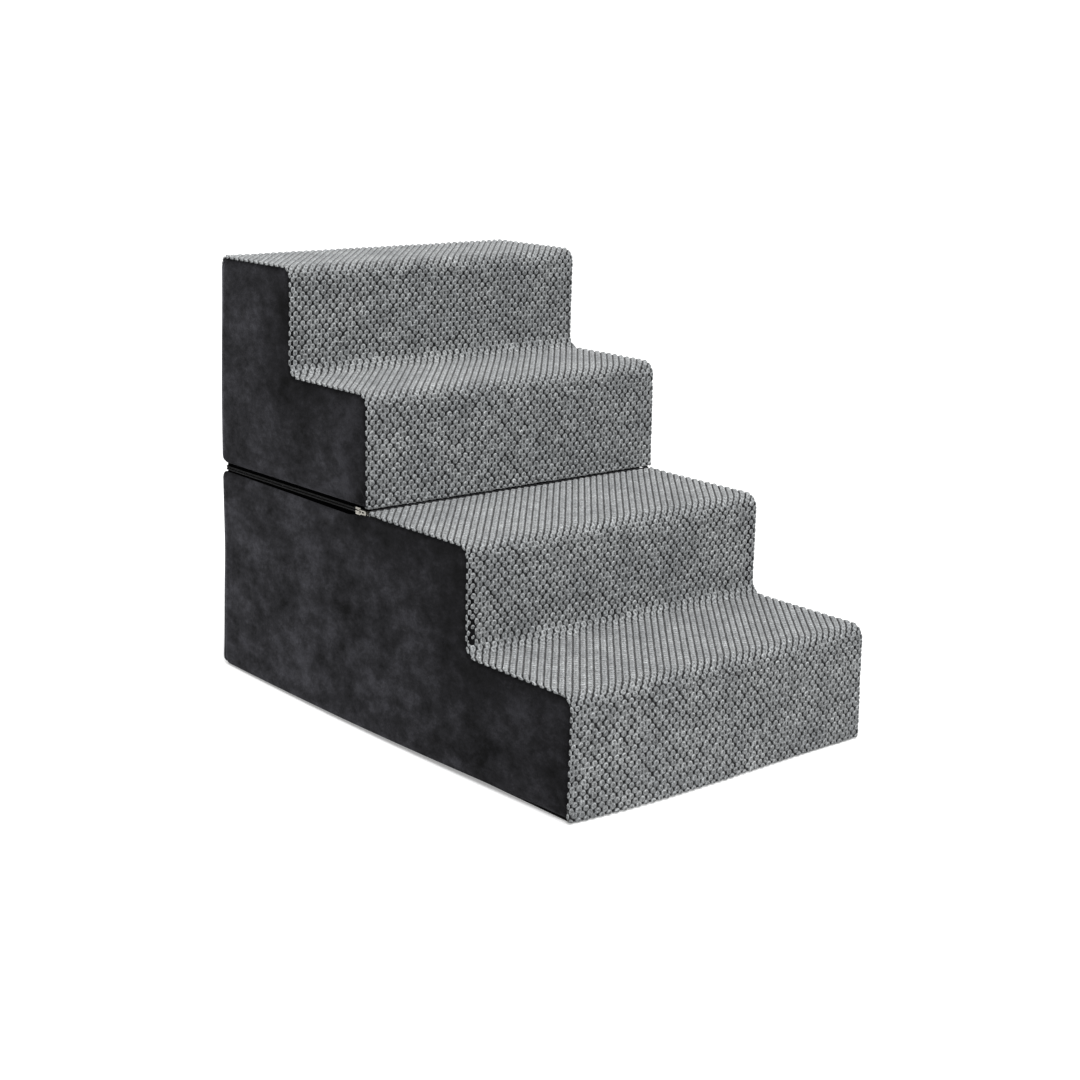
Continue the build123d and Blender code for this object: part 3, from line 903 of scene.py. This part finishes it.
def tape(name, node, seed):
    """A woven strip standing on edge round three sides."""
    low, high = span(node)
    half_thick = 0.3
    path, normals, along = u_path(high[0] - half_thick, low[1], high[1] - half_thick, 6.0, 3.0)
    middle = (low[2] + high[2]) / 2
    section = [
        (-half_thick, low[2]), (half_thick, low[2]), (half_thick, middle),
        (half_thick, high[2]), (-half_thick, high[2]),
    ]
    wave = 0.12 * np.array([noise.noise(Vector((a / 24.0, seed, 0))) for a in along])
    points = []
    for (x, y), (nx, ny), w in zip(path, normals, wave):
        points += [(x + nx * (o + w), y + ny * (o + w), z) for o, z in section]
    faces = [tuple(f) for f in grid_faces(len(path), len(section), wrap_columns=True)]
    last = (len(path) - 1) * len(section)
    faces.append(tuple(range(len(section))))
    faces.append(tuple(last + i for i in reversed(range(len(section)))))
    return make_object(name, points, faces, SHADED_TAPE, shade_smooth=False)


def capsule(radius_a, radius_b, height, sides=8):
    """A rounded peg along Z, centred: its points and faces."""
    levels = ((0.55, 0.5), (1.0, 0.36), (1.0, -0.36), (0.55, -0.5))
    points = []
    for scale, z in levels:
        for k in range(sides):
            t = 2 * math.pi * k / sides
            points.append((radius_a * scale * math.cos(t), radius_b * scale * math.sin(t), height * z))
    faces = [tuple(f) for f in grid_faces(len(levels), sides, wrap_columns=True)]
    faces.append(tuple(reversed(range(sides))))
    faces.append(tuple((len(levels) - 1) * sides + i for i in range(sides)))
    return np.array(points), faces


def repeat_along(shape, places, directions):
    """Copies of a small shape at places, its X turned to each outward direction."""
    base, faces = shape
    points, all_faces = [], []
    for index, ((x, y, z), (nx, ny)) in enumerate(zip(places, directions)):
        px = x + base[:, 0] * nx - base[:, 1] * ny
        py = y + base[:, 0] * ny + base[:, 1] * nx
        points.append(np.stack([px, py, base[:, 2] + z], 1))
        all_faces += [tuple(v + index * len(base) for v in f) for f in faces]
    return np.vstack(points), all_faces


def chain(name, node, pitch):
    """Coil teeth in a row round three sides, over a thin core cord."""
    low, high = span(node)
    thick, height, sides = 1.6, high[2] - low[2], 6
    half = high[0] - thick / 2
    path, normals, _ = u_path(half, low[1] + pitch / 2, high[1] - thick / 2, 6.8, pitch)
    middle = (low[2] + high[2]) / 2
    tooth = capsule(thick / 2, pitch * 0.36, height)
    points, faces = repeat_along(tooth, [(x, y, middle) for x, y in path], normals)
    core_path, core_normals, _ = u_path(
        half - 0.25, low[1] + 0.2, high[1] - thick / 2 - 0.25, 6.6, 5.0
    )
    turns = np.linspace(0, 2 * math.pi, sides, endpoint=False)
    ring = [(math.cos(t) * 0.5, math.sin(t) * height * 0.36) for t in turns]
    core = []
    for (x, y), (nx, ny) in zip(core_path, core_normals):
        core += [(x + nx * a, y + ny * a, middle + b) for a, b in ring]
    start = len(points)
    tube = grid_faces(len(core_path), sides, wrap_columns=True, start=start)
    faces += [tuple(f) for f in tube]
    last = start + (len(core_path) - 1) * sides
    faces.append(tuple(range(start + sides - 1, start - 1, -1)))
    faces.append(tuple(range(last, last + sides)))
    return make_object(name, np.vstack([points, np.array(core)]), faces, SHADED_COIL)


for name, node, body in (
    ("tape_joint_lower", "joint_zip_lower_tape", "lower_module"),
    ("tape_joint_upper", "joint_zip_upper_tape", "upper_module"),
    ("tape_base_lower", "base_zip_lower_tape", "lower_module"),
    ("tape_base_upper", "base_zip_upper_tape", "lower_module"),
):
    made = tape(name, node, len(name))
    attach(made, body)
    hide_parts(node)

for name, node, body, pitch in (
    ("chain_joint_lower", "joint_zip_lower_chain", "lower_module", 1.5),
    ("chain_joint_upper", "joint_zip_upper_chain", "upper_module", 1.5),
    ("chain_base_lower", "base_zip_lower_chain", "lower_module", 1.3),
    ("chain_base_upper", "base_zip_upper_chain", "lower_module", 1.3),
):
    made = chain(name, node, pitch)
    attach(made, body)
    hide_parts(node)

for node in (
    "joint_zip_slider_body", "joint_zip_slider_bridge", "joint_zip_pull_tab",
    "base_zip_slider_body", "base_zip_slider_bridge", "base_zip_pull_tab",
    "joint_zip_lower_stops", "joint_zip_upper_stops", "base_zip_stops",
):
    obj = frame["nodes"][node]
    obj.data.materials.clear()
    obj.data.materials.append(NICKEL)
    edge = obj.modifiers.new("edge", "BEVEL")
    edge.width = 0.00018
    edge.segments = 2
    edge.limit_method = "ANGLE"


# ---------------------------------------------------------------- linings, base, welt, foam

def flat_cloth(name, node, material, level, slackness, seed, thick, step):
    """A thin closed cloth lying flat, with a little slack in it."""
    low, high = span(node)
    xs = np.linspace(low[0], high[0], int((high[0] - low[0]) / step) + 1)
    ys = np.linspace(low[1], high[1], int((high[1] - low[1]) / step) + 1)
    x, y = np.meshgrid(xs, ys)
    edge = np.minimum(np.minimum(x - low[0], high[0] - x), np.minimum(y - low[1], high[1] - y))
    slack = slackness * smoothstep(0, 40, edge) * cloud_grid(x, y, 70.0, seed)
    top = np.stack([x, y, level + thick + slack], -1).reshape(-1, 3)
    bottom = np.stack([x, y, level + slack], -1).reshape(-1, 3)
    rows, columns = x.shape
    count = rows * columns
    faces = [tuple(f) for f in grid_faces(rows, columns)]
    faces += [tuple(f[::-1]) for f in grid_faces(rows, columns, start=count)]
    rim = [c for c in range(columns)] + [r * columns + columns - 1 for r in range(1, rows)]
    rim += [(rows - 1) * columns + c for c in range(columns - 2, -1, -1)]
    rim += [r * columns for r in range(rows - 2, 0, -1)]
    for a, b in zip(rim, rim[1:] + rim[:1]):
        faces.append((b, a, a + count, b + count))
    return make_object(name, np.vstack([top, bottom]), faces, material)


for name, node, body, slot, material, raised, slackness, seed, thick, step, rests in (
    ("lining_platform", "lower_platform_lining", "lower_module", "lining", LINING,
     0.0, 0.25, 41, 0.8, 6.0, "lower_foam_top_slab"),
    ("lining_upper_base", "upper_base_lining", "upper_module", "lining", LINING,
     0.4, 0.25, 42, 0.8, 6.0, "upper_foam_bottom_slab"),
    ("base_cloth", "base_panel", "lower_module", "base_cloth", BASE_CLOTH,
     0.45, 0.0, 43, 0.9, 8.0, "lower_foam_bottom_slab"),
):
    low, high = span(node)
    made = flat_cloth(name, node, material, low[2] + raised, slackness, seed, thick, step)
    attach(made, body)
    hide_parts(node)

base = span("base_panel")
DOT_PITCH, DOT_R = 15.0, 2.2
places = []
for row, y in enumerate(np.arange(base[0][1] + 12, base[1][1] - 10, DOT_PITCH * 0.87)):
    for x in np.arange(base[0][0] + 12 + (row % 2) * DOT_PITCH / 2, base[1][0] - 10, DOT_PITCH):
        places.append((x, y, base[0][2] + 0.26))
dots = repeat_along(capsule(DOT_R, DOT_R, 0.5, 10), places, [(1.0, 0.0)] * len(places))
made = make_object("grip_dots", dots[0], dots[1], RUBBER)
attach(made, "lower_module")

welt = span("crease_seam_welt")
axis_y = (welt[0][1] + welt[1][1]) / 2
axis_z = welt[1][2] - 2.3
xs = np.arange(welt[0][0], welt[1][0] + 0.5, 1.0)
ROPE_SIDES = 12
rope = []
for x in xs:
    for t in np.linspace(0, 2 * math.pi, ROPE_SIDES, endpoint=False):
        r = 0.92 + 0.08 * math.sin(3 * t + x * 1.1)
        rope.append((x, axis_y + r * math.cos(t), axis_z + r * math.sin(t)))
faces = [tuple(f) for f in grid_faces(len(xs), ROPE_SIDES, wrap_columns=True)]
faces.append(tuple(reversed(range(ROPE_SIDES))))
faces.append(tuple((len(xs) - 1) * ROPE_SIDES + i for i in range(ROPE_SIDES)))
start = len(rope)
flange = [(0.35, welt[0][2]), (0.35, axis_z), (-0.35, axis_z), (-0.35, welt[0][2])]
for x in xs[2:-2]:
    rope += [(x, axis_y + o + 0.1 * math.sin(x / 9), z) for o, z in flange]
faces += [tuple(f) for f in grid_faces(len(xs) - 4, 4, wrap_columns=True, start=start)]
last = start + (len(xs) - 5) * 4
faces.append((start + 3, start + 2, start + 1, start))
faces.append((last, last + 1, last + 2, last + 3))
made = make_object("crease_welt", rope, faces, LINING)
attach(made, "lower_module")
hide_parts("crease_seam_welt")

FOAM_IN = (6.0, 4.0, 1.2)
for node in LOWER_FOAM + UPPER_FOAM:
    source = frame["nodes"][node]
    body = source["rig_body"]
    name = "foam_" + node.replace("_foam", "").replace("_slab", "")
    copy = bpy.data.objects.new(name, source.data.copy())
    bpy.context.scene.collection.objects.link(copy)
    copy.data.materials.clear()
    copy.data.materials.append(FOAM)
    remesh = copy.modifiers.new("remesh", "REMESH")
    remesh.mode = "VOXEL"
    remesh.voxel_size = 0.006
    soften = copy.modifiers.new("soften", "SMOOTH")
    soften.iterations = 3
    softened = copy.evaluated_get(bpy.context.evaluated_depsgraph_get())
    mesh = bpy.data.meshes.new_from_object(softened)
    copy.modifiers.clear()
    copy.data = mesh
    low, high = span(node)
    count = len(mesh.vertices)
    co = np.empty(count * 3, np.float32)
    mesh.vertices.foreach_get("co", co)
    co = co.reshape(-1, 3) / MM
    centre = (low + high) / 2
    scale = (high - low - FOAM_IN) / (high - low)
    co = centre + (co - centre) * scale
    mesh.vertices.foreach_set("co", (co * MM).astype(np.float32).ravel())
    mesh.polygons.foreach_set("use_smooth", [True] * len(mesh.polygons))
    mesh.update()
    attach(copy, body)
    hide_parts(node)


# ---------------------------------------------------------------- stage, light, camera

def floor_material():
    """A plain pale floor."""
    material, tree, shader = new_material(
        "floor", Roughness=0.9, Specular_IOR_Level=0.0,
        Emission_Color=(1.0, 1.0, 1.0, 1.0), Emission_Strength=0.3
    )
    where = object_coordinates(tree)
    tone = noise_node(tree, where, 3.0, 2.0)
    colour = ramp(tree, tone, [(0.3, (0.93, 0.93, 0.93)), (0.7, (0.95, 0.95, 0.95))])
    tree.links.new(colour, shader.inputs["Base Color"])
    return material


def floor_mesh():
    """A round floor that rises gently at its far rim, like a studio sweep."""
    radii = [0, 4, 7, 8, 9, 10, 11, 12, 13]
    rises = [0, 0, 0, 0.03, 0.12, 0.28, 0.52, 0.86, 1.35]
    sides = 64
    points = []
    for radius, rise in zip(radii, rises):
        for k in range(sides):
            t = 2 * math.pi * k / sides
            points.append((radius / MM * math.cos(t), radius / MM * math.sin(t), rise / MM))
    return points, [tuple(f) for f in grid_faces(len(radii), sides, wrap_columns=True)]


floor = make_object("floor", *floor_mesh(), floor_material())
floor.location.z = -0.0002
floor.visible_diffuse = False
floor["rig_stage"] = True

scene = bpy.context.scene
scene.view_settings.view_transform = "Standard"
world = bpy.data.worlds.new("studio")
scene.world = world
world.use_nodes = True
background = world.node_tree.nodes["Background"]
background.inputs["Color"].default_value = (1.0, 1.0, 1.0, 1.0)
background.inputs["Strength"].default_value = WORLD_STRENGTH


def light(name, kind, place, target, power, **settings):
    """A light at a place in metres, turned to a target."""
    data = bpy.data.lights.new(name, kind)
    data.energy = power
    for key, value in settings.items():
        setattr(data, key, value)
    obj = bpy.data.objects.new(name, data)
    obj.location = place
    obj.rotation_mode = "QUATERNION"
    obj.rotation_quaternion = (Vector(target) - Vector(place)).to_track_quat("-Z", "Y")
    scene.collection.objects.link(obj)


light("sky", "SUN", (-0.5, -1.5, 3.0), (0, 0, 0.2), SUN_STRENGTH, angle=math.radians(50))
light(
    "overhead", "AREA", (0.0, 0.3, 2.2), (0, 0.1, 0.3), OVERHEAD_POWER,
    shape="RECTANGLE", size=1.6, size_y=1.6,
)

azimuth, elevation, roll = (math.radians(a) for a in (CAMERA_AZIMUTH, CAMERA_ELEVATION, CAMERA_ROLL))
level = math.cos(elevation)
backward = Vector((math.sin(azimuth) * level, -math.cos(azimuth) * level, math.sin(elevation)))
right = (-backward).cross(Vector((0, 0, 1))).normalized()
up = right.cross(-backward)
axes = Matrix((
    right * math.cos(roll) + up * math.sin(roll),
    up * math.cos(roll) - right * math.sin(roll),
    backward,
))
camera = bpy.data.objects.new("camera", bpy.data.cameras.new("camera"))
camera.data.sensor_width = CAMERA_SENSOR
camera.data.lens = CAMERA_LENS
camera.matrix_world = Matrix.Translation(CAMERA_PLACE) @ axes.transposed().to_4x4()
scene.collection.objects.link(camera)
scene.camera = camera

low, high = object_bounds()
